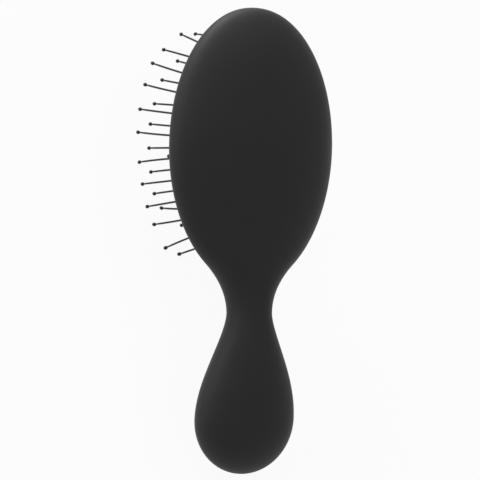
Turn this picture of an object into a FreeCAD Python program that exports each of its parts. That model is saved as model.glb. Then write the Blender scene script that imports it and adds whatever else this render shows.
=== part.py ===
import FreeCAD, Part
import math
import os

from FreeCAD import Placement, Rotation, Vector

os.makedirs("parts", exist_ok=True)

doc = FreeCAD.newDocument("paddle_brush")
sheet = doc.addObject("Spreadsheet::Sheet", "sizes")

# Driving dimensions, in millimetres.
# The brush is described lying along Y with its head at +Y, its back at +Z and its pins at -Z.
# Y and Z are counted from the centre of the oval head.
SIZES = [
    ("head_half_length", 43.4, "centre of the head to its tip"),
    ("head_half_width", 30.4, "centre of the head to its side edge"),
    ("head_half_depth", 10.0, "centre of the head to the crown of its back"),
    ("rim_setback", 3.0, "centre of the head down to the flat front rim"),
    ("neck_place", 52.4, "centre of the head to the thinnest section of the neck"),
    ("neck_half_width", 7.54, "half the neck across"),
    ("neck_half_depth", 6.3, "half the neck front to back"),
    ("neck_rise", 0.9, "how far the neck's middle lies above the head's"),
    ("bulb_place", 85.4, "centre of the head to the widest section of the handle"),
    ("bulb_half_width", 17.8, "half the handle across at its widest"),
    ("bulb_half_depth", 9.5, "half the handle front to back at its widest"),
    ("handle_end", 102.8, "centre of the head to the end of the handle"),
    ("end_drop", 1.2, "how far the end of the handle lies below the head's middle"),
    ("scoop_radius", 5.0, "hollow between the flat rim and the round neck"),
    ("scoop_place", 41.6, "centre of the head to the start of that hollow"),
    ("recess_half_width", 25.6, "oval recess behind the cushion, half across"),
    ("recess_half_length", 38.8, "oval recess behind the cushion, half along"),
    ("recess_depth", 6.0, "flat rim to the floor of the recess"),
    ("groove_depth", 1.3, "undercut groove into the recess wall"),
    ("groove_setback", 1.3, "flat rim to the near side of the groove"),
    ("flange_thickness", 1.5, "bead round the cushion, held in the groove"),
    ("flange_play", 0.03, "clearance on each side of the bead"),
    ("skirt_play", 0.1, "clearance between the cushion and the recess wall"),
    ("dome_height", 5.72, "flat rim to the crown of the cushion"),
    ("cushion_wall", 1.6, "thickness of the rubber"),
    ("breather_bore", 1.6, "air hole in the cushion, across"),
    ("breather_place", 0.0, "centre of the cushion to the air hole, along the brush"),
    ("pin_reach", 19.6, "cushion surface to the middle of a pin's ball"),
    ("pin_radius", 0.3, "half the thickness of a pin"),
    ("ball_radius", 0.62, "half the thickness of the ball at a pin's tip"),
    ("foot_radius", 1.15, "disc behind the cushion that holds a pin, half across"),
    ("foot_thickness", 0.5, "thickness of that disc"),
    ("hole_play", 0.02, "clearance round a pin in the cushion"),
    ("pin_fan", 1.4, "lean of the pins along the brush, in times the slope of the cushion"),
    ("ring1_side_inset", 5.34, "side edge of the cushion in to the outermost oval ring of pins"),
    ("ring1_far_inset", 6.1, "far edge of the cushion in to that ring"),
    ("ring1_near_inset", 8.7, "near edge of the cushion in to that ring"),
    ("ring1_start", 4.3, "far end of that ring to its first pair of pins"),
    ("ring1_end_pitch", 5.1, "from pin to pin where that ring crosses the middle line"),
    ("ring1_side_pitch", 6.7, "from pin to pin where that ring is widest"),
    ("ring2_side_inset", 8.75, "side edge of the cushion in to the second ring"),
    ("ring2_far_inset", 11.4, "far edge of the cushion in to that ring"),
    ("ring2_near_inset", 11.4, "near edge of the cushion in to that ring"),
    ("ring2_start", 2.9, "far end of that ring to its first pair of pins"),
    ("ring2_end_pitch", 7.0, "from pin to pin where that ring crosses the middle line"),
    ("ring2_side_pitch", 6.3, "from pin to pin where that ring is widest"),
    ("ring3_side_inset", 15.4, "side edge of the cushion in to the third ring"),
    ("ring3_far_inset", 16.8, "far edge of the cushion in to that ring"),
    ("ring3_near_inset", 16.8, "near edge of the cushion in to that ring"),
    ("ring3_start", 3.7, "far end of that ring to its first pair of pins"),
    ("ring3_end_pitch", 6.2, "from pin to pin where that ring crosses the middle line"),
    ("ring3_side_pitch", 6.2, "from pin to pin where that ring is widest"),
    ("ring4_side_inset", 20.1, "side edge of the cushion in to the fourth ring"),
    ("ring4_far_inset", 22.9, "far edge of the cushion in to that ring"),
    ("ring4_near_inset", 22.9, "near edge of the cushion in to that ring"),
    ("ring4_start", 6.0, "far end of that ring to its first pair of pins"),
    ("ring4_end_pitch", 6.54, "from pin to pin where that ring crosses the middle line"),
    ("ring4_side_pitch", 6.54, "from pin to pin where that ring is widest"),
    ("middle_pitch", 6.6, "between pins of the short row in the middle"),
]
for row, (alias, number, meaning) in enumerate(SIZES, start=1):
    sheet.set("A%d" % row, meaning)
    sheet.set("B%d" % row, str(number))
    sheet.setAlias("B%d" % row, alias)
doc.recompute()


def size(alias):
    return float(getattr(sheet, alias))


def bind(thing, **rules):
    """Ties properties of an object to formulas on the sheet."""
    for name, rule in rules.items():
        thing.setExpression(name.replace("__", "."), rule)
    return thing


# Sections
# Every cross section of the body and of the cushion is an oval of straight flats.
# All ovals of one piece have their corners at the same bearings, so the flats run on
# from one section to the next. The body's are closest where its edge is sharp.
BODY_QUARTER = [0, 3.8, 8.5, 15, 24, 38, 60, 90]
CUSHION_QUARTER = [0, 19, 36, 52, 66, 78, 90]


def bearings(quarter):
    turn = list(quarter)
    turn += [180 - angle for angle in reversed(quarter[:-1])]
    turn += [180 + angle for angle in quarter[1:]]
    turn += [360 - angle for angle in reversed(quarter[1:-1])]
    return [math.radians(angle) for angle in turn]


def oval_corners(half_width, half_height, quarter):
    corners = []
    for angle in bearings(quarter):
        across = math.cos(angle)
        up = math.sin(angle)
        reach = 1.0 / math.hypot(across / half_width, up / half_height)
        corners.append((reach * across, reach * up))
    return corners


def polygon(name, nodes):
    wire = doc.addObject("Part::Polygon", name)
    wire.Nodes = nodes
    wire.Close = True
    return wire


def loft(name, sections):
    body = doc.addObject("Part::Loft", name)
    body.Sections = sections
    body.Solid = True
    body.Ruled = True
    return body


def ease(low, high, share):
    return low + (high - low) * share * share * (3.0 - 2.0 * share)


# Paddle body
# One moulding: a lens-shaped oval head, a thin neck and a pear-shaped handle.
# The half width, half depth and middle height are found at any place along the brush.
NECK_START = math.radians(148)


def head_section(angle):
    along = size("head_half_length") * math.cos(angle)
    half_width = size("head_half_width") * math.sin(angle)
    if angle <= math.pi / 2:
        return along, half_width, size("head_half_depth") * math.sin(angle), 0.0
    start = 0.0
    share = min(1.0, -along / (size("neck_place") - start))
    half_depth = ease(size("head_half_depth"), size("neck_half_depth"), share)
    return along, half_width, half_depth, size("neck_rise") * share ** 3


def shoulder_section(share):
    """From the end of the oval to the thinnest section, leaving the oval along its own slope."""
    start, wide, deep, rise = head_section(NECK_START)
    end = -size("neck_place")
    slope = size("head_half_width") / size("head_half_length") / math.tan(NECK_START)
    span = end - start
    along = start + span * share
    first = 2 * share ** 3 - 3 * share ** 2 + 1
    lean = share ** 3 - 2 * share ** 2 + share
    last = 3 * share ** 2 - 2 * share ** 3
    half_width = first * wide + lean * span * -slope + last * size("neck_half_width")
    along_share = -along / size("neck_place")
    half_depth = ease(size("head_half_depth"), size("neck_half_depth"), along_share)
    return along, half_width, half_depth, size("neck_rise") * along_share ** 3


def handle_section(share):
    """From the thinnest section to the widest; the handle swells early, like a pear."""
    along = -size("neck_place") - (size("bulb_place") - size("neck_place")) * share
    swell = share ** 0.83
    half_width = ease(size("neck_half_width"), size("bulb_half_width"), swell)
    half_depth = ease(size("neck_half_depth"), size("bulb_half_depth"), swell)
    return along, half_width, half_depth, ease(size("neck_rise"), -size("end_drop") / 3, share)


def end_section(angle):
    along = -size("bulb_place") - (size("handle_end") - size("bulb_place")) * math.sin(angle)
    half_width = size("bulb_half_width") * math.cos(angle)
    half_depth = size("bulb_half_depth") * math.cos(angle)
    return along, half_width, half_depth, -size("end_drop") * (1 + 2 * math.sin(angle)) / 3


stations = [head_section(math.radians(angle)) for angle in (7, 15, 24, 34, 46, 60, 75, 90)]
stations += [head_section(math.radians(angle)) for angle in (103, 115, 126, 137, 148)]
stations += [shoulder_section(share) for share in (0.25, 0.5, 0.75, 1.0)]
stations += [handle_section(share) for share in (0.15, 0.3, 0.45, 0.6, 0.75, 0.88, 1.0)]
stations += [end_section(math.radians(angle)) for angle in (18, 35, 51, 65, 77)]

tip = doc.addObject("Part::Vertex", "head_tip")
bind(tip, Y="sizes.head_half_length")
sections = [tip]
for number, (along, half_width, half_depth, middle) in enumerate(stations, start=1):
    corners = oval_corners(half_width, half_depth, BODY_QUARTER)
    nodes = [Vector(across, along, middle + up) for across, up in corners]
    sections.append(polygon("section_%02d" % number, nodes))
butt = doc.addObject("Part::Vertex", "handle_tip")
bind(butt, Y="-sizes.handle_end", Z="-sizes.end_drop")
sections.append(butt)
blank = loft("body_blank", sections)

# The head's front is cut off flat, and a round hollow leads from the rim to the neck.
front_trim = doc.addObject("Part::Box", "front_trim")
bind(
    front_trim,
    Length="2 * sizes.head_half_width + 20",
    Width="sizes.scoop_place + sizes.head_half_length + 10",
    Height="sizes.head_half_depth + 10",
    Placement__Base__x="-sizes.head_half_width - 10",
    Placement__Base__y="-sizes.scoop_place",
    Placement__Base__z="-sizes.rim_setback - sizes.head_half_depth - 10",
)
scoop = doc.addObject("Part::Cylinder", "neck_scoop")
scoop.Placement.Rotation = Rotation(Vector(0, 1, 0), 90)
bind(
    scoop,
    Radius="sizes.scoop_radius",
    Height="2 * sizes.head_half_width + 20",
    Placement__Base__x="-sizes.head_half_width - 10",
    Placement__Base__y="-sizes.scoop_place",
    Placement__Base__z="-sizes.rim_setback - sizes.scoop_radius",
)


def oval_block(name, half_width, half_length, height, bottom):
    """A true oval pushed up along Z; every size is a formula on the sheet."""
    oval = doc.addObject("Part::Ellipse", name + "_outline")
    oval.Placement.Rotation = Rotation(Vector(0, 0, 1), 90)
    bind(oval, MajorRadius=half_length, MinorRadius=half_width, Placement__Base__z=bottom)
    block = doc.addObject("Part::Extrusion", name)
    block.Base = oval
    block.DirMode = "Custom"
    block.Dir = Vector(0, 0, 1)
    block.Solid = True
    bind(block, LengthFwd=height)
    return block


# The recess behind the cushion is a flat-floored oval with an undercut groove in its wall.
recess = oval_block(
    "recess",
    "sizes.recess_half_width",
    "sizes.recess_half_length",
    "sizes.recess_depth + 1",
    "-sizes.rim_setback - 1",
)
groove = oval_block(
    "groove",
    "sizes.recess_half_width + sizes.groove_depth",
    "sizes.recess_half_length + sizes.groove_depth",
    "sizes.flange_thickness + 2 * sizes.flange_play",
    "-sizes.rim_setback + sizes.groove_setback",
)
cutters = doc.addObject("Part::MultiFuse", "body_cutters")
cutters.Shapes = [front_trim, scoop, recess, groove]
paddle_body = doc.addObject("Part::Cut", "paddle_body")
paddle_body.Base = blank
paddle_body.Tool = cutters

# Rubber cushion
# A hollow dome with an even wall, a straight skirt inside the recess mouth and a bead
# round its foot that snaps into the groove.
DOME_STEPS = [0, 20, 41, 63]


def level_corners(half_width, half_length, level):
    corners = oval_corners(half_width, half_length, CUSHION_QUARTER)
    return [Vector(across, along, level) for across, along in corners]


def dome_sizes(inset):
    half_width = size("recess_half_width") - size("skirt_play") - inset
    half_length = size("recess_half_length") - size("skirt_play") - inset
    return half_width, half_length, size("dome_height") - inset


def dome(name, inset, foot_level):
    """The space inside the dome's outer face, drawn in by inset all round.

    The ovals of its levels are alike, so each flat between two of them is truly flat.
    """
    half_width, half_length, height = dome_sizes(inset)
    rim = -size("rim_setback")
    levels = [level_corners(half_width, half_length, foot_level)]
    for step in DOME_STEPS:
        share = math.cos(math.radians(step))
        drop = height * math.sin(math.radians(step))
        levels.append(level_corners(half_width * share, half_length * share, rim - drop))
    crown = Vector(0, 0, rim - height)
    outlines = [levels[0]]
    for wide, slim in zip(levels, levels[1:]):
        for side in range(len(wide)):
            after = (side + 1) % len(wide)
            outlines.append([wide[side], wide[after], slim[after], slim[side]])
    for side in range(len(levels[-1])):
        after = (side + 1) % len(levels[-1])
        outlines.append([levels[-1][side], levels[-1][after], crown])
    faces = [Part.Face(Part.makePolygon(outline + outline[:1])) for outline in outlines]
    solid = Part.makeSolid(Part.makeShell(faces))
    if solid.Volume < 0:
        solid.reverse()
    block = doc.addObject("Part::Feature", name)
    block.Shape = solid
    return block


bead_low = -size("rim_setback") + size("groove_setback") + size("flange_play")
bead_high = bead_low + size("flange_thickness")
dome_outside = dome("dome_outside", 0.0, bead_high)
dome_inside = dome("dome_inside", size("cushion_wall"), bead_high + 1.0)
reach = size("groove_depth") - size("flange_play")
bead_corners = level_corners(
    size("recess_half_width") + reach, size("recess_half_length") + reach, bead_low
)
bead_outline = polygon("bead_outline", bead_corners)
bead = doc.addObject("Part::Extrusion", "bead")
bead.Base = bead_outline
bead.DirMode = "Custom"
bead.Dir = Vector(0, 0, 1)
bead.Solid = True
bind(bead, LengthFwd="sizes.flange_thickness")
cushion_blank = doc.addObject("Part::Fuse", "cushion_blank")
cushion_blank.Base = dome_outside
cushion_blank.Tool = bead

# Pins
# One nylon pin, drawn upright: a flat foot at the bottom, a slim shaft and a ball at the tip.
# Foot, shaft and ball are six-sided, and the ball's ends are bevelled.
PIN_SIDES = 6


def bar(name, radius, height, bottom):
    piece = doc.addObject("Part::Prism", name)
    piece.Polygon = PIN_SIDES
    bind(piece, Circumradius=radius, Height=height, Placement__Base__z=bottom)
    return piece


bar("pin_foot", "sizes.foot_radius", "sizes.foot_thickness", "0")
bar("pin_shaft", "sizes.pin_radius", "sizes.foot_thickness + sizes.cushion_wall + sizes.pin_reach", "0")
ball_blank = bar(
    "ball_blank",
    "0.96 * sizes.ball_radius",
    "1.84 * sizes.ball_radius",
    "sizes.foot_thickness + sizes.cushion_wall + sizes.pin_reach - 0.92 * sizes.ball_radius",
)
doc.recompute()
bevel = 0.45 * size("ball_radius")
ball = doc.addObject("Part::Chamfer", "pin_ball")
ball.Base = ball_blank
ball.Edges = [
    (number, bevel, bevel)
    for number, edge in enumerate(ball_blank.Shape.Edges, start=1)
    if abs(edge.Vertexes[0].Z - edge.Vertexes[1].Z) < 1e-6
]
pin_master = doc.addObject("Part::MultiFuse", "pin_master")
pin_master.Shapes = [doc.pin_foot, doc.pin_shaft, ball]
pin_hole = bar(
    "pin_hole",
    "sizes.pin_radius + sizes.hole_play",
    "3 * sizes.cushion_wall + sizes.foot_thickness",
    "0",
)
doc.recompute()


def along_oval(half_width, far_end, near_end):
    """A fine run of spots down the left half of an oval, with the distance walked so far."""
    fine = 720
    turn = [math.pi * step / fine for step in range(fine + 1)]
    centre = (far_end + near_end) / 2
    half_length = (far_end - near_end) / 2
    spots = [(-half_width * math.sin(a), centre + half_length * math.cos(a)) for a in turn]
    run = [0.0]
    for before, after in zip(spots, spots[1:]):
        run.append(run[-1] + math.dist(before, after))
    return spots, run


def spot_at(spots, run, wanted):
    step = 0
    while run[step + 1] < wanted:
        step += 1
    share = (wanted - run[step]) / (run[step + 1] - run[step])
    near, far = spots[step], spots[step + 1]
    return near[0] + (far[0] - near[0]) * share, near[1] + (far[1] - near[1]) * share


def ring_pins(ring):
    """Mirrored pairs down the ring, and a pin on the middle line at an end with room for one."""
    cushion_width, cushion_length, height = dome_sizes(0.0)
    half_width = cushion_width - size(ring + "_side_inset")
    far_end = cushion_length - size(ring + "_far_inset")
    near_end = size(ring + "_near_inset") - cushion_length
    end_pitch = size(ring + "_end_pitch")
    side_pitch = size(ring + "_side_pitch")
    spots, run = along_oval(half_width, far_end, near_end)
    place = size(ring + "_start")
    pairs = []
    while place < run[-1] - 0.3 * end_pitch:
        across, along = spot_at(spots, run, place)
        pairs.append([(across, along), (-across, along)])
        last = place
        place += end_pitch + (side_pitch - end_pitch) * (across / half_width) ** 2
    middle = []
    if size(ring + "_start") > 0.85 * end_pitch:
        middle.append((0.0, far_end))
    if run[-1] - last > 0.75 * end_pitch:
        middle.append((0.0, near_end))
    if middle:
        pairs.append(middle)
    return pairs


pin_groups = []
for ring in ("ring1", "ring2", "ring3", "ring4"):
    for number, spots in enumerate(ring_pins(ring), start=1):
        pin_groups.append(("%s_pins_%02d" % (ring, number), spots))
for number in (1, 2):
    along = size("middle_pitch") * (number - 0.5)
    pin_groups.append(("middle_pins_%02d" % number, [(0.0, along), (0.0, -along)]))


def pin_place(across, along):
    """A pin stands square to the dome across the brush, and leans out more along it."""
    half_width, half_length, height = dome_sizes(0.0)
    rise = math.sqrt(max(0.05, 1 - (across / half_width) ** 2 - (along / half_length) ** 2))
    lean_x = height * across / half_width ** 2 / rise
    lean_y = size("pin_fan") * height * along / half_length ** 2 / rise
    outward = Vector(lean_x, lean_y, -1.0).normalize()
    surface = Vector(across, along, -size("rim_setback") - height * rise)
    return surface, outward


def inner_level(across, along):
    """The height of the cushion's inner face over a spot, on its flats."""
    half_width, half_length, height = dome_sizes(size("cushion_wall"))
    corners = oval_corners(half_width, half_length, CUSHION_QUARTER)
    share = 0.0
    for (ax, ay), (bx, by) in zip(corners, corners[1:] + corners[:1]):
        out_x, out_y = by - ay, ax - bx
        share = max(share, (out_x * across + out_y * along) / (out_x * ax + out_y * ay))
    steps = [(math.cos(math.radians(s)), math.sin(math.radians(s))) for s in DOME_STEPS]
    steps.append((0.0, 1.0))
    for (wide, low), (slim, high) in zip(steps, steps[1:]):
        if share >= slim:
            part = min(1.0, (wide - share) / (wide - slim))
            return -size("rim_setback") - height * (low + (high - low) * part)
    return -size("rim_setback") - height


def foot_depth(surface, outward, turned):
    """How far behind the outer face a pin's foot finds room against the inner face."""
    deepest = 0.0
    for side in range(PIN_SIDES):
        angle = 2 * math.pi * side / PIN_SIDES
        corner = Vector(math.cos(angle), math.sin(angle), 0) * size("foot_radius")
        start = surface + turned.multVec(corner)
        near, far = 0.0, 4 * size("cushion_wall")
        while far - near > 1e-5:
            half = (near + far) / 2
            point = start - outward * half
            if point.z > inner_level(point.x, point.y):
                far = half
            else:
                near = half
        deepest = max(deepest, far)
    return deepest


def instance(name, source, place):
    link = doc.addObject("App::Link", name)
    link.LinkedObject = source
    link.LinkTransform = False
    link.LinkPlacement = place
    return link


pin_nodes = []
hole_links = []
for name, spots in pin_groups:
    links = []
    for letter, (across, along) in zip("ab", spots):
        surface, outward = pin_place(across, along)
        turned = Rotation(Vector(0, 0, 1), outward)
        behind = foot_depth(surface, outward, turned) + size("foot_thickness") + 0.005
        foot = surface - outward * behind
        links.append(instance(name + letter, pin_master, Placement(foot, turned)))
        start = surface - outward * (2 * size("cushion_wall") + size("foot_thickness"))
        hole_links.append(instance(name + letter + "_hole", pin_hole, Placement(start, turned)))
    node = doc.addObject("Part::Compound", name)
    node.Links = links
    pin_nodes.append(node)

# The air hole lets the chamber breathe when the cushion is pressed.
breather = doc.addObject("Part::Prism", "breather")
breather.Polygon = 12
bind(
    breather,
    Circumradius="sizes.breather_bore / 2",
    Height="sizes.dome_height + 2 * sizes.cushion_wall",
    Placement__Base__y="sizes.breather_place",
    Placement__Base__z="-sizes.rim_setback - sizes.dome_height - sizes.cushion_wall",
)
holes = doc.addObject("Part::Compound", "pin_holes")
holes.Links = hole_links + [breather]
hollow = doc.addObject("Part::Cut", "cushion_hollow")
hollow.Base = cushion_blank
hollow.Tool = dome_inside
cushion = doc.addObject("Part::Cut", "cushion")
cushion.Base = hollow
cushion.Tool = holes
doc.recompute()

# Rest pose
# The brush lies with its back up on the tips of its pins, and tips back under the weight of
# the handle until its centre of weight stands over the pins that touch the table.
subparts = [paddle_body, cushion] + pin_nodes


def centre_of_weight(things):
    total = 0.0
    moment = Vector(0, 0, 0)
    for thing in things:
        for solid in thing.Shape.Solids:
            total += solid.Volume
            moment += solid.CenterOfMass * solid.Volume
    return moment * (1.0 / total)


def rest_tilt(things):
    spots = sorted({(round(v.Y, 6), round(v.Z, 6)) for t in things for v in t.Shape.Vertexes})
    lower = []
    for spot in spots:
        while len(lower) > 1:
            (ay, az), (by, bz) = lower[-2], lower[-1]
            if (by - ay) * (spot[1] - az) - (bz - az) * (spot[0] - ay) > 0:
                break
            lower.pop()
        lower.append(spot)
    weight = centre_of_weight(things)
    for (ay, az), (by, bz) in zip(lower, lower[1:]):
        run, rise = by - ay, bz - az
        share = ((weight.y - ay) * run + (weight.z - az) * rise) / (run * run + rise * rise)
        if 0 <= share <= 1:
            return math.degrees(math.atan2(rise, run))
    return 0.0


tilt = rest_tilt(subparts)
turn = Rotation(Vector(1, 0, 0), -tilt)
box = FreeCAD.BoundBox()
for thing in subparts:
    copy = thing.Shape.copy()
    copy.Placement = Placement(Vector(0, 0, 0), turn).multiply(copy.Placement)
    for vertex in copy.Vertexes:
        box.add(vertex.Point)
rest = Placement(Vector(-box.Center.x, -box.Center.y, -box.ZMin), turn)
for thing in subparts:
    thing.Placement = rest
doc.recompute()

for thing in doc.Objects:
    if "Invalid" in thing.State or "Error" in thing.State:
        raise RuntimeError("%s failed: %s" % (thing.Name, thing.State))
for thing in subparts:
    thing.Label = thing.Name
    if thing.Shape.isNull() or not thing.Shape.isValid():
        raise RuntimeError("%s has no sound shape" % thing.Name)
for thing in subparts:
    thing.Shape.exportStep("parts/%s.step" % thing.Label)
print("tilt %.3f, moved by %s, %d files" % (tilt, rest.Base, len(subparts)))
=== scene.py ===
import math
import random

import bmesh
import bpy
from mathutils import Matrix, Vector


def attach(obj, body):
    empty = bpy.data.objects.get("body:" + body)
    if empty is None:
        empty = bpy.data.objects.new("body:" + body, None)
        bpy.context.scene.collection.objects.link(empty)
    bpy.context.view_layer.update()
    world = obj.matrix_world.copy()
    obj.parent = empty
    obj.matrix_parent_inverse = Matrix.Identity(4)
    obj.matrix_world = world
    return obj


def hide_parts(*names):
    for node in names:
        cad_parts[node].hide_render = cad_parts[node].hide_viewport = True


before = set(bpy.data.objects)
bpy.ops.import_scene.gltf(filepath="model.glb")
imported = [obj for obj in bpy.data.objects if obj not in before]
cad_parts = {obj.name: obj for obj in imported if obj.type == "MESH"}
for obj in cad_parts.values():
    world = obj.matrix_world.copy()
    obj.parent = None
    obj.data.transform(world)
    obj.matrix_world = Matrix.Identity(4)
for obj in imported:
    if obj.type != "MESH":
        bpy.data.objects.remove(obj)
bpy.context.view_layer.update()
random.seed(7)

# Paddle body
# One moulding of soft-touch black plastic: a lens-shaped oval head with a flat front rim,
# a thin neck and a pear-shaped handle. Its recess holds the cushion's bead in a groove.
# Sizes are in millimetres, with Y along the brush from the head's centre, pins towards -Z.
HEAD_HALF_LENGTH = 43.4
HEAD_HALF_WIDTH = 30.4
HEAD_HALF_DEPTH = 10.0
TIP_BLUNTNESS = 0.955
RIM = -3.0
NECK_START = math.radians(148)
NECK_PLACE = 52.4
NECK_HALF_WIDTH = 7.54
NECK_HALF_DEPTH = 6.3
NECK_RISE = 0.9
BULB_PLACE = 85.4
BULB_HALF_WIDTH = 17.8
BULB_HALF_DEPTH = 9.5
BULB_FULLNESS = 0.8
HANDLE_END = 102.8
END_DROP = 1.2
SCOOP_PLACE = -41.6
SCOOP_RADIUS = 5.0
EDGE_BLEND = 0.55

# The recess in the flat front, with a rounded lip and a groove for the cushion's bead.
RECESS_HALF_WIDTH = 25.6
RECESS_HALF_LENGTH = 38.8
RECESS_FLOOR = 3.0
FLOOR_CORNER = 0.8
LIP_RADIUS = 0.55
GROOVE_START = 1.24
GROOVE_END = 2.92
GROOVE_DEPTH = 1.3
GROOVE_DRAFT = 0.06

# The brush rests on its rear pins and the end of the handle, with its head raised.
TILT = math.radians(16.399)
REST_PLACE = Matrix.Translation((0.0, 0.027244, 0.035217))
REST = REST_PLACE @ Matrix.Rotation(TILT, 4, "X") @ Matrix.Scale(0.001, 4)
SHARP_ANGLE = math.radians(38)


def finished(name, bm):
    """Turns mesh data in brush millimetres into an object of the row frame, in metres."""
    bm.normal_update()
    bmesh.ops.recalc_face_normals(bm, faces=bm.faces)
    for face in bm.faces:
        face.smooth = True
    for edge in bm.edges:
        if len(edge.link_faces) == 2 and edge.calc_face_angle(0.0) > SHARP_ANGLE:
            edge.smooth = False
    bmesh.ops.transform(bm, matrix=REST, verts=bm.verts)
    mesh = bpy.data.meshes.new(name)
    bm.to_mesh(mesh)
    bm.free()
    piece = bpy.data.objects.new(name, mesh)
    bpy.context.scene.collection.objects.link(piece)
    return piece


def ease(low, high, share):
    return low + (high - low) * share * share * (3.0 - 2.0 * share)


def head_section(angle):
    """Where a section of the head lies, its half width and half depth, and its middle."""
    along = HEAD_HALF_LENGTH * math.cos(angle)
    if angle <= math.pi / 2:
        blunt = math.sin(angle) ** TIP_BLUNTNESS
        return along, HEAD_HALF_WIDTH * blunt, HEAD_HALF_DEPTH * blunt, 0.0
    share = -along / NECK_PLACE
    wide = HEAD_HALF_WIDTH * math.sin(angle)
    return along, wide, ease(HEAD_HALF_DEPTH, NECK_HALF_DEPTH, share), NECK_RISE * share ** 3


def shoulder_section(share):
    """From where the head's oval is left to the neck, without a corner at either end."""
    start, wide = head_section(NECK_START)[:2]
    span = -NECK_PLACE - start
    along = start + span * share
    slope = HEAD_HALF_WIDTH / HEAD_HALF_LENGTH / math.tan(NECK_START)
    first = 2 * share ** 3 - 3 * share ** 2 + 1
    lean = share ** 3 - 2 * share ** 2 + share
    half = first * wide - lean * span * slope + (1 - first) * NECK_HALF_WIDTH
    part = -along / NECK_PLACE
    return along, half, ease(HEAD_HALF_DEPTH, NECK_HALF_DEPTH, part), NECK_RISE * part ** 3


def handle_section(share):
    """The handle's middle line runs smoothly on from the neck's and into the end's."""
    span = BULB_PLACE - NECK_PLACE
    along = -NECK_PLACE - span * share
    swell = share ** BULB_FULLNESS
    half = ease(NECK_HALF_WIDTH, BULB_HALF_WIDTH, swell)
    deep = ease(NECK_HALF_DEPTH, BULB_HALF_DEPTH, swell)
    climb = span * 3 * NECK_RISE / NECK_PLACE
    fall = span * 2 * END_DROP / 3 / (HANDLE_END - BULB_PLACE)
    bend = climb * (share ** 3 - 2 * share ** 2 + share) - fall * (share ** 3 - share ** 2)
    return along, half, deep, ease(NECK_RISE, -END_DROP / 3, share) + bend


def end_section(angle):
    """The handle's rounded end, which drops a little below its middle line."""
    along = -BULB_PLACE - (HANDLE_END - BULB_PLACE) * math.sin(angle)
    middle = -END_DROP * (1 + 2 * math.sin(angle)) / 3
    return along, BULB_HALF_WIDTH * math.cos(angle), BULB_HALF_DEPTH * math.cos(angle), middle


def front_level(along):
    """The lowest the front may reach: the flat rim, then the hollow down to the neck."""
    if along >= SCOOP_PLACE:
        return RIM
    across = SCOOP_PLACE - along
    if across < SCOOP_RADIUS * 0.995:
        return RIM - SCOOP_RADIUS + math.sqrt(SCOOP_RADIUS ** 2 - across ** 2)
    return -40.0


def soft_floor(level, lowest):
    """Keeps a level above the lowest one, with a rounded edge where they meet."""
    gap = level - lowest
    if gap > EDGE_BLEND:
        return level
    if gap < -EDGE_BLEND:
        return lowest
    return lowest + (gap + EDGE_BLEND) ** 2 / (4 * EDGE_BLEND)


# A ball with one ring of corners for each section is drawn out into the body.
HEAD_STEPS = 74
SHOULDER_STEPS = 14
HANDLE_STEPS = 34
END_STEPS = 30
sections = [(HEAD_HALF_LENGTH, 0.0, 0.0, 0.0)]
sections += [head_section(NECK_START * step / HEAD_STEPS) for step in range(1, HEAD_STEPS + 1)]
sections += [shoulder_section(step / SHOULDER_STEPS) for step in range(1, SHOULDER_STEPS + 1)]
sections += [handle_section(step / HANDLE_STEPS) for step in range(1, HANDLE_STEPS + 1)]
sections += [end_section(math.pi / 2 * step / END_STEPS) for step in range(1, END_STEPS)]
sections.append((-HANDLE_END, 0.0, 0.0, -END_DROP))
bm = bmesh.new()
bmesh.ops.create_uvsphere(bm, u_segments=168, v_segments=len(sections) - 1, radius=1.0)
for corner in bm.verts:
    down = math.acos(max(-1.0, min(1.0, corner.co.z))) / math.pi
    along, wide, deep, middle = sections[round(down * (len(sections) - 1))]
    angle = math.atan2(corner.co.y, corner.co.x)
    level = middle + deep * math.sin(angle)
    if wide > 0.0:
        level = soft_floor(level, front_level(along))
    corner.co = (wide * math.cos(angle), along, level)
paddle = finished("paddle", bm)


# The recess is cut out of the front by a stack of ovals.
OVAL_EDGES = 160


def oval_loop(bm, half_width, half_length, level):
    """Adds a level oval and returns its edges."""
    made = bmesh.ops.create_circle(bm, segments=OVAL_EDGES, radius=1.0)
    bmesh.ops.scale(bm, vec=(half_width, half_length, 1.0), verts=made["verts"])
    bmesh.ops.translate(bm, vec=(0.0, 0.0, level), verts=made["verts"])
    bm.edges.ensure_lookup_table()
    return bm.edges[-OVAL_EDGES:]


def skin(bm, loops):
    """Joins each loop of edges to the next one with faces."""
    for low, high in zip(loops, loops[1:]):
        bmesh.ops.bridge_loops(bm, edges=low + high)


# The cutter's outset from the recess's side at each level, from outside the front inwards.
profile = [(0.6, RIM - 2.0), (0.6, RIM - 0.02)]
for degrees in range(10, 91, 16):
    angle = math.radians(degrees)
    profile.append((LIP_RADIUS * (1 - math.sin(angle)), RIM + LIP_RADIUS * (1 - math.cos(angle))))
profile += [
    (0.0, RIM + GROOVE_START),
    (GROOVE_DEPTH, RIM + GROOVE_START + GROOVE_DRAFT),
    (GROOVE_DEPTH, RIM + GROOVE_END - GROOVE_DRAFT),
    (0.0, RIM + GROOVE_END),
    (0.0, RECESS_FLOOR - FLOOR_CORNER),
    (-0.3 * FLOOR_CORNER, RECESS_FLOOR - 0.3 * FLOOR_CORNER),
    (-FLOOR_CORNER, RECESS_FLOOR),
]
bm = bmesh.new()
loops = []
for outset, level in profile:
    loops.append(oval_loop(bm, RECESS_HALF_WIDTH + outset, RECESS_HALF_LENGTH + outset, level))
skin(bm, loops)
bmesh.ops.edgeloop_fill(bm, edges=loops[0])
bmesh.ops.edgeloop_fill(bm, edges=loops[-1])
recess = finished("recess_cutter", bm)
cut = paddle.modifiers.new("recess", "BOOLEAN")
cut.operation = "DIFFERENCE"
cut.solver = "EXACT"
cut.object = recess
bpy.context.view_layer.update()
depsgraph = bpy.context.evaluated_depsgraph_get()
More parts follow.
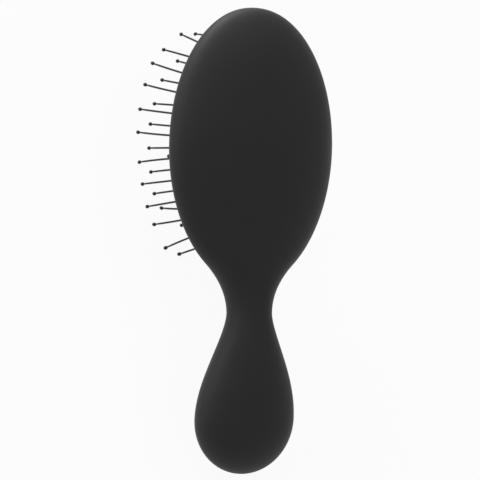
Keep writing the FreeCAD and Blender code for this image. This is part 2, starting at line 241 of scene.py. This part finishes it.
carved = bpy.data.meshes.new_from_object(paddle.evaluated_get(depsgraph))
paddle.modifiers.clear()
paddle.data = carved
bpy.data.objects.remove(recess)
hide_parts("paddle_body")
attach(paddle, "root")


def new_material(name):
    """A Principled material and the texture place that its patterns read."""
    material = bpy.data.materials.new(name)
    material.use_nodes = True
    nodes = material.node_tree.nodes
    links = material.node_tree.links
    shader = nodes["Principled BSDF"]
    place = nodes.new("ShaderNodeTexCoord")
    return material, nodes, links, shader, place


def noise(nodes, links, place, scale, detail, roughness=0.5):
    node = nodes.new("ShaderNodeTexNoise")
    node.inputs["Scale"].default_value = scale
    node.inputs["Detail"].default_value = detail
    node.inputs["Roughness"].default_value = roughness
    links.new(place.outputs["Object"], node.inputs["Vector"])
    return node


def ramp(nodes, links, source, low, high):
    node = nodes.new("ShaderNodeValToRGB")
    node.color_ramp.elements[0].position = 0.35
    node.color_ramp.elements[1].position = 0.65
    node.color_ramp.elements[0].color = low
    node.color_ramp.elements[1].color = high
    links.new(source, node.inputs["Fac"])
    return node


def grey(value, blue=1.03):
    return (value, value, value * blue, 1.0)


def bump(nodes, links, shader, source, strength, distance, previous=None):
    node = nodes.new("ShaderNodeBump")
    node.inputs["Strength"].default_value = strength
    node.inputs["Distance"].default_value = distance
    links.new(source, node.inputs["Height"])
    if previous:
        links.new(previous.outputs["Normal"], node.inputs["Normal"])
    links.new(node.outputs["Normal"], shader.inputs["Normal"])
    return node


# The soft-touch coat is nearly black and matte, with a fine grain and a very slight swell.
material, nodes, links, shader, place = new_material("soft_touch_black")
cloud = noise(nodes, links, place, 55.0, 4.0)
grain = noise(nodes, links, place, 5200.0, 2.0, 0.6)
colour = ramp(nodes, links, cloud.outputs["Fac"], grey(0.019), grey(0.022))
links.new(colour.outputs["Color"], shader.inputs["Base Color"])
gloss = ramp(nodes, links, cloud.outputs["Fac"], grey(0.52, 1.0), grey(0.60, 1.0))
links.new(gloss.outputs["Color"], shader.inputs["Roughness"])
shader.inputs["Specular IOR Level"].default_value = 0.28
first = bump(nodes, links, shader, grain.outputs["Fac"], 0.25, 0.00003)
swell = noise(nodes, links, place, 260.0, 2.0)
bump(nodes, links, shader, swell.outputs["Fac"], 0.05, 0.00015, first)
paddle.data.materials.clear()
paddle.data.materials.append(material)

# Rubber cushion
# A hollow dome of black rubber with an even wall, a straight skirt in the recess mouth and
# a bead that snaps into the groove. Each pin comes out through a small raised collar, and
# a hole in the middle lets the air out when the cushion is pressed.
SKIRT_CLEARANCE = 0.1
SKIRT_WIDTH = RECESS_HALF_WIDTH - SKIRT_CLEARANCE
SKIRT_LENGTH = RECESS_HALF_LENGTH - SKIRT_CLEARANCE
DOME_HEIGHT = 5.72
WALL = 1.6
HOLE_RADIUS = 0.8

# The skirt's end and its bead, as the outset from the skirt and the depth behind the rim.
BEAD = ((0.0, 1.2), (0.15, 1.36), (1.1, 1.38), (1.25, 1.6), (1.25, 2.6), (1.1, 2.82), (-WALL, 2.83))
DOME_STEPS = 26


def dome_loops(bm, inset):
    """Ovals up a dome that lies an inset within the cushion's outside."""
    loops = []
    for step in range(DOME_STEPS + 1):
        angle = math.pi / 2 * step / DOME_STEPS
        wide = max((SKIRT_WIDTH - inset) * math.cos(angle), HOLE_RADIUS)
        long = max((SKIRT_LENGTH - inset) * math.cos(angle), HOLE_RADIUS)
        loops.append(oval_loop(bm, wide, long, RIM - (DOME_HEIGHT - inset) * math.sin(angle)))
    return loops


dome = bmesh.new()
loops = dome_loops(dome, 0.0)[::-1]
for outset, depth in BEAD:
    loops.append(oval_loop(dome, SKIRT_WIDTH + outset, SKIRT_LENGTH + outset, RIM + depth))
loops += dome_loops(dome, WALL)
skin(dome, loops + loops[:1])

# Pins stand square to the dome across the brush and lean out a little more along it, in
# four oval rings and a middle row. The cushion's collars stand where they come out.
PIN_REACH = 19.6
PIN_FAN = 1.4
MIDDLE_PITCH = 6.6

# Each ring's insets from the cushion's side, far end and near end, where its first pair
# stands, and its pitch at the ends and at the sides.
RINGS = (
    ("ring1", 5.34, 6.1, 8.7, 4.3, 5.1, 6.7),
    ("ring2", 8.75, 11.4, 11.4, 2.9, 7.0, 6.3),
    ("ring3", 15.4, 16.8, 16.8, 3.7, 6.2, 6.2),
    ("ring4", 20.1, 22.9, 22.9, 6.0, 6.54, 6.54),
)


def pin_place(across, along):
    """Where a pin leaves the dome, and the way it points."""
    rise = math.sqrt(max(0.05, 1 - (across / SKIRT_WIDTH) ** 2 - (along / SKIRT_LENGTH) ** 2))
    lean_x = DOME_HEIGHT * across / SKIRT_WIDTH ** 2 / rise
    lean_y = PIN_FAN * DOME_HEIGHT * along / SKIRT_LENGTH ** 2 / rise
    surface = Vector((across, along, RIM - DOME_HEIGHT * rise))
    return surface, Vector((lean_x, lean_y, -1.0)).normalized()


def ring_pins(side_inset, far_inset, near_inset, start, end_pitch, side_pitch):
    """Mirrored pairs down a ring, and a pin on the middle line at an end with room for one."""
    half_width = SKIRT_WIDTH - side_inset
    far_end = SKIRT_LENGTH - far_inset
    near_end = near_inset - SKIRT_LENGTH
    centre = (far_end + near_end) / 2
    half_length = (far_end - near_end) / 2
    fine = 720
    turn = [math.pi * step / fine for step in range(fine + 1)]
    spots = [(-half_width * math.sin(a), centre + half_length * math.cos(a)) for a in turn]
    run = [0.0]
    for before, after in zip(spots, spots[1:]):
        run.append(run[-1] + math.dist(before, after))
    groups = []
    place = start
    while place < run[-1] - 0.3 * end_pitch:
        step = next(i for i in range(fine) if run[i + 1] >= place)
        share = (place - run[step]) / (run[step + 1] - run[step])
        across = spots[step][0] + (spots[step + 1][0] - spots[step][0]) * share
        along = spots[step][1] + (spots[step + 1][1] - spots[step][1]) * share
        groups.append([(across, along), (-across, along)])
        last = place
        place += end_pitch + (side_pitch - end_pitch) * (across / half_width) ** 2
    middle = []
    if start > 0.85 * end_pitch:
        middle.append((0.0, far_end))
    if run[-1] - last > 0.75 * end_pitch:
        middle.append((0.0, near_end))
    if middle:
        groups.append(middle)
    return groups


pin_groups = {}
for ring_name, *ring_sizes in RINGS:
    for number, spots in enumerate(ring_pins(*ring_sizes), start=1):
        pin_groups["%s_pins_%02d" % (ring_name, number)] = spots
for number in (1, 2):
    along = MIDDLE_PITCH * (number - 0.5)
    pin_groups["middle_pins_%02d" % number] = [(0.0, along), (0.0, -along)]


def turned_blank(name, profile, sides):
    """Spins a profile of (distance, radius) round the Z axis into a mesh."""
    bm = bmesh.new()
    spots = [bm.verts.new((radius, 0.0, distance)) for distance, radius in profile]
    line = [bm.edges.new(pair) for pair in zip(spots, spots[1:])]
    bmesh.ops.spin(
        bm, geom=spots + line, cent=(0, 0, 0), axis=(0, 0, 1),
        angle=2 * math.pi, steps=sides, use_merge=True)
    bmesh.ops.remove_doubles(bm, verts=bm.verts, dist=0.0001)
    mesh = bpy.data.meshes.new(name)
    bm.to_mesh(mesh)
    bm.free()
    return mesh


def add_copy(bm, blank, surface, outward, bend=Vector((0.0, 0.0, 0.0))):
    """Sets a copy of a blank on the dome, bent more and more towards its far end."""
    before = len(bm.verts)
    bm.from_mesh(blank)
    bm.verts.ensure_lookup_table()
    turn = Vector((0, 0, 1)).rotation_difference(outward).to_matrix()
    for corner in bm.verts[before:]:
        reach = max(0.0, corner.co.z) / PIN_REACH
        corner.co = surface + turn @ corner.co + bend * reach ** 2


# A collar's (distance, radius) from inside the rubber, over its crest and back in.
COLLAR = ((-0.5, 0.95), (-0.02, 0.9), (0.12, 0.8), (0.2, 0.64), (0.2, 0.5), (0.12, 0.36), (-0.5, 0.31))
collar_blank = turned_blank("collar_blank", COLLAR + COLLAR[:1], 18)
for spots in pin_groups.values():
    for across, along in spots:
        add_copy(dome, collar_blank, *pin_place(across, along))
cushion = finished("rubber_cushion", dome)
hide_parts("cushion")
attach(cushion, "root")

# The rubber is black with a faint sheen and a coarser grain than the body's.
material, nodes, links, shader, place = new_material("cushion_rubber_black")
cloud = noise(nodes, links, place, 80.0, 4.0)
grain = noise(nodes, links, place, 2600.0, 3.0, 0.6)
colour = ramp(nodes, links, cloud.outputs["Fac"], grey(0.011), grey(0.016))
links.new(colour.outputs["Color"], shader.inputs["Base Color"])
gloss = ramp(nodes, links, cloud.outputs["Fac"], grey(0.40, 1.0), grey(0.5, 1.0))
links.new(gloss.outputs["Color"], shader.inputs["Roughness"])
bump(nodes, links, shader, grain.outputs["Fac"], 0.3, 0.00004)
cushion.data.materials.append(material)

# Pins
# Thin round pins of black nylon with a ball at the tip and a flat foot behind the cushion.
# They are moulded straight, and in use each one takes its own slight bend.
PIN_RADIUS = 0.34
PIN_TAPER = 0.03
BALL_RADIUS = 0.62
FOOT_RADIUS = 1.15
FOOT_THICKNESS = 0.6
FOOT_GAP = 0.04

# A straight pin from its foot's flat end to the tip of its ball.
foot_end = -WALL - FOOT_THICKNESS
profile = [(foot_end, 0.0), (foot_end, FOOT_RADIUS - 0.15), (foot_end + 0.1, FOOT_RADIUS)]
profile += [(-WALL - 0.12, FOOT_RADIUS), (-WALL - FOOT_GAP, FOOT_RADIUS - 0.1)]
profile += [(-WALL - FOOT_GAP, PIN_RADIUS), (0.0, PIN_RADIUS)]
profile += [(PIN_REACH * step / 8, PIN_RADIUS - PIN_TAPER * step / 8) for step in range(1, 8)]
for degrees in (-66, -52, -38, -22, -8, 8, 24, 40, 56, 72, 82):
    angle = math.radians(degrees)
    profile.append((PIN_REACH + BALL_RADIUS * math.sin(angle), BALL_RADIUS * math.cos(angle)))
profile.append((PIN_REACH + BALL_RADIUS, 0.0))
pin_blank = turned_blank("pin_blank", profile, 16)

# How far a pin's tip has bent across and along the brush, for pins that show at the left.
BENDS = {
    "ring1_pins_01": (0.0, -2.3),
    "ring1_pins_02": (0.5, 0.3),
    "ring1_pins_03": (-1.0, -0.3),
    "ring1_pins_04": (-1.1, 1.0),
    "ring1_pins_05": (-0.8, 0.8),
    "ring1_pins_06": (-0.6, 0.3),
    "ring1_pins_07": (-0.4, 0.7),
    "ring1_pins_08": (0.0, -0.9),
    "ring1_pins_09": (-0.2, -0.2),
    "ring1_pins_10": (-0.9, -0.2),
    "ring1_pins_11": (-2.0, 0.4),
    "ring1_pins_12": (-2.4, -2.0),
    "ring1_pins_13": (-3.0, -0.7),
    "ring2_pins_01": (0.3, 0.0),
    "ring2_pins_02": (-0.2, 0.1),
    "ring2_pins_03": (-1.0, 0.2),
    "ring2_pins_04": (-0.7, -0.4),
    "ring2_pins_05": (-0.5, 0.3),
    "ring2_pins_06": (-0.4, -0.1),
    "ring2_pins_07": (-0.2, -0.5),
    "ring2_pins_08": (-0.6, -0.3),
    "ring2_pins_09": (-1.1, 1.9),
    "ring2_pins_10": (1.4, 2.4),
    "ring3_pins_04": (0.4, 0.0),
    "ring3_pins_05": (-0.6, -0.7),
}
# Every other pin has a slight bend of its own.
SLIGHT = 0.3
pins = []
for node_name, spots in pin_groups.items():
    bm = bmesh.new()
    for across, along in spots:
        bend = Vector((random.uniform(-SLIGHT, SLIGHT), random.uniform(-SLIGHT, SLIGHT), 0.0))
        if across < 0 and node_name in BENDS:
            bend = Vector((*BENDS[node_name], 0.0))
        add_copy(bm, pin_blank, *pin_place(across, along), bend)
    piece = finished("nylon_" + node_name, bm)
    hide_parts(node_name)
    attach(piece, "root")
    pins.append(piece)
bpy.data.meshes.remove(collar_blank)
bpy.data.meshes.remove(pin_blank)

# The nylon is smooth and the glossiest of the three.
material, nodes, links, shader, place = new_material("pin_nylon_black")
cloud = noise(nodes, links, place, 160.0, 3.0)
grain = noise(nodes, links, place, 3000.0, 2.0)
colour = ramp(nodes, links, cloud.outputs["Fac"], grey(0.006), grey(0.009))
links.new(colour.outputs["Color"], shader.inputs["Base Color"])
gloss = ramp(nodes, links, cloud.outputs["Fac"], grey(0.15, 1.0), grey(0.22, 1.0))
links.new(gloss.outputs["Color"], shader.inputs["Roughness"])
bump(nodes, links, shader, grain.outputs["Fac"], 0.15, 0.00002)
for piece in pins:
    piece.data.materials.append(material)

# Camera
# The photo looks at the back from its left side, 35 degrees off square, with the brush
# upright in the frame; the lens is long. DISTANCE is in the brush's millimetres, PIXEL is
# what one pixel spans at the head, and HEAD_PIXEL is where the head's centre shows.
YAW = math.radians(35.0)
PITCH = math.radians(-0.89)
ROLL = math.radians(1.37)
DISTANCE = 1200.0
PIXEL = 0.3133
HEAD_PIXEL = (251.6, 146.3)
IMAGE_SIZE = 480
SENSOR = 36.0

right = Vector((math.cos(YAW), 0, math.sin(YAW)))
forward = Vector((math.sin(YAW), 0, -math.cos(YAW)))
up = Vector((0, 1, 0))
pitched = math.cos(PITCH) * forward - math.sin(PITCH) * up
up = math.cos(PITCH) * up + math.sin(PITCH) * forward
forward = pitched
rolled = math.cos(ROLL) * right + math.sin(ROLL) * up
up = -math.sin(ROLL) * right + math.cos(ROLL) * up
right = rolled
eye = REST @ (-DISTANCE * forward)
off_right = (IMAGE_SIZE / 2 - HEAD_PIXEL[0]) * PIXEL
off_up = (HEAD_PIXEL[1] - IMAGE_SIZE / 2) * PIXEL
aim = REST @ (off_right * right + off_up * up)
turn = REST.to_3x3().normalized()
look = (aim - eye).normalized()
side = look.cross(turn @ up).normalized()
head = side.cross(look)
camera_data = bpy.data.cameras.new("camera")
camera_data.sensor_width = SENSOR
camera_data.lens = SENSOR * DISTANCE / (IMAGE_SIZE * PIXEL)
camera_data.clip_end = 50.0
camera = bpy.data.objects.new("camera", camera_data)
bpy.context.scene.collection.objects.link(camera)
pose = Matrix((side, head, -look)).transposed().to_4x4()
pose.translation = eye
camera.matrix_world = pose
bpy.context.scene.camera = camera

# Floor
# A plain white floor. Seen by the camera or in a reflection it is nearly its own white,
# with a faint shadow of the brush; all other light meets it as white paint.
GLOW_SHARE = 0.93
bm = bmesh.new()
bmesh.ops.create_grid(bm, x_segments=1, y_segments=1, size=4.0)
mesh = bpy.data.meshes.new("floor")
bm.to_mesh(mesh)
bm.free()
floor = bpy.data.objects.new("floor", mesh)
bpy.context.scene.collection.objects.link(floor)
material = bpy.data.materials.new("floor_white")
material.use_nodes = True
nodes = material.node_tree.nodes
links = material.node_tree.links
paint = nodes["Principled BSDF"]
paint.inputs["Base Color"].default_value = (0.8, 0.8, 0.8, 1)
paint.inputs["Roughness"].default_value = 0.9
glow = nodes.new("ShaderNodeEmission")
glow.inputs["Strength"].default_value = 1.0
path = nodes.new("ShaderNodeLightPath")
seen = nodes.new("ShaderNodeMath")
seen.operation = "MAXIMUM"
links.new(path.outputs["Is Camera Ray"], seen.inputs[0])
links.new(path.outputs["Is Transmission Ray"], seen.inputs[1])
mirrored = nodes.new("ShaderNodeMath")
mirrored.operation = "MAXIMUM"
links.new(seen.outputs[0], mirrored.inputs[0])
links.new(path.outputs["Is Glossy Ray"], mirrored.inputs[1])
share = nodes.new("ShaderNodeMath")
share.operation = "MULTIPLY"
share.inputs[1].default_value = GLOW_SHARE
links.new(mirrored.outputs[0], share.inputs[0])
blend = nodes.new("ShaderNodeMixShader")
links.new(share.outputs[0], blend.inputs["Fac"])
links.new(paint.outputs["BSDF"], blend.inputs[1])
links.new(glow.outputs["Emission"], blend.inputs[2])
links.new(blend.outputs["Shader"], nodes["Material Output"].inputs["Surface"])
floor.data.materials.append(material)

# Light
# A low lamp on the left, a broad one beyond the head's tip and a pale surround.


def soft_lamp(name, place, target, width, height, power):
    data = bpy.data.lights.new(name, "AREA")
    data.shape = "RECTANGLE"
    data.size = width
    data.size_y = height
    data.energy = power
    lamp = bpy.data.objects.new(name, data)
    bpy.context.scene.collection.objects.link(lamp)
    lamp.location = place
    lamp.rotation_euler = (Vector(target) - Vector(place)).to_track_quat("-Z", "Y").to_euler()


centre = (0.0, 0.0, 0.03)
soft_lamp("left_lamp", (-1.2, 0.3, 0.2), centre, 0.6, 0.8, 3.0)
soft_lamp("top_lamp", (-0.25, 1.3, 0.35), centre, 1.2, 0.6, 22.0)
world = bpy.data.worlds.new("surround")
bpy.context.scene.world = world
world.use_nodes = True
nodes = world.node_tree.nodes
links = world.node_tree.links
back = nodes["Background"]
path = nodes.new("ShaderNodeLightPath")
white = nodes.new("ShaderNodeBackground")
white.inputs["Color"].default_value = (1, 1, 1, 1)
white.inputs["Strength"].default_value = 1.0
back.inputs["Color"].default_value = (1, 1, 1, 1)
back.inputs["Strength"].default_value = 0.5
blend = nodes.new("ShaderNodeMixShader")
links.new(path.outputs["Is Camera Ray"], blend.inputs["Fac"])
links.new(back.outputs["Background"], blend.inputs[1])
links.new(white.outputs["Background"], blend.inputs[2])
links.new(blend.outputs["Shader"], nodes["World Output"].inputs["Surface"])
bpy.context.scene.view_settings.view_transform = "Standard"

bpy.context.view_layer.update()
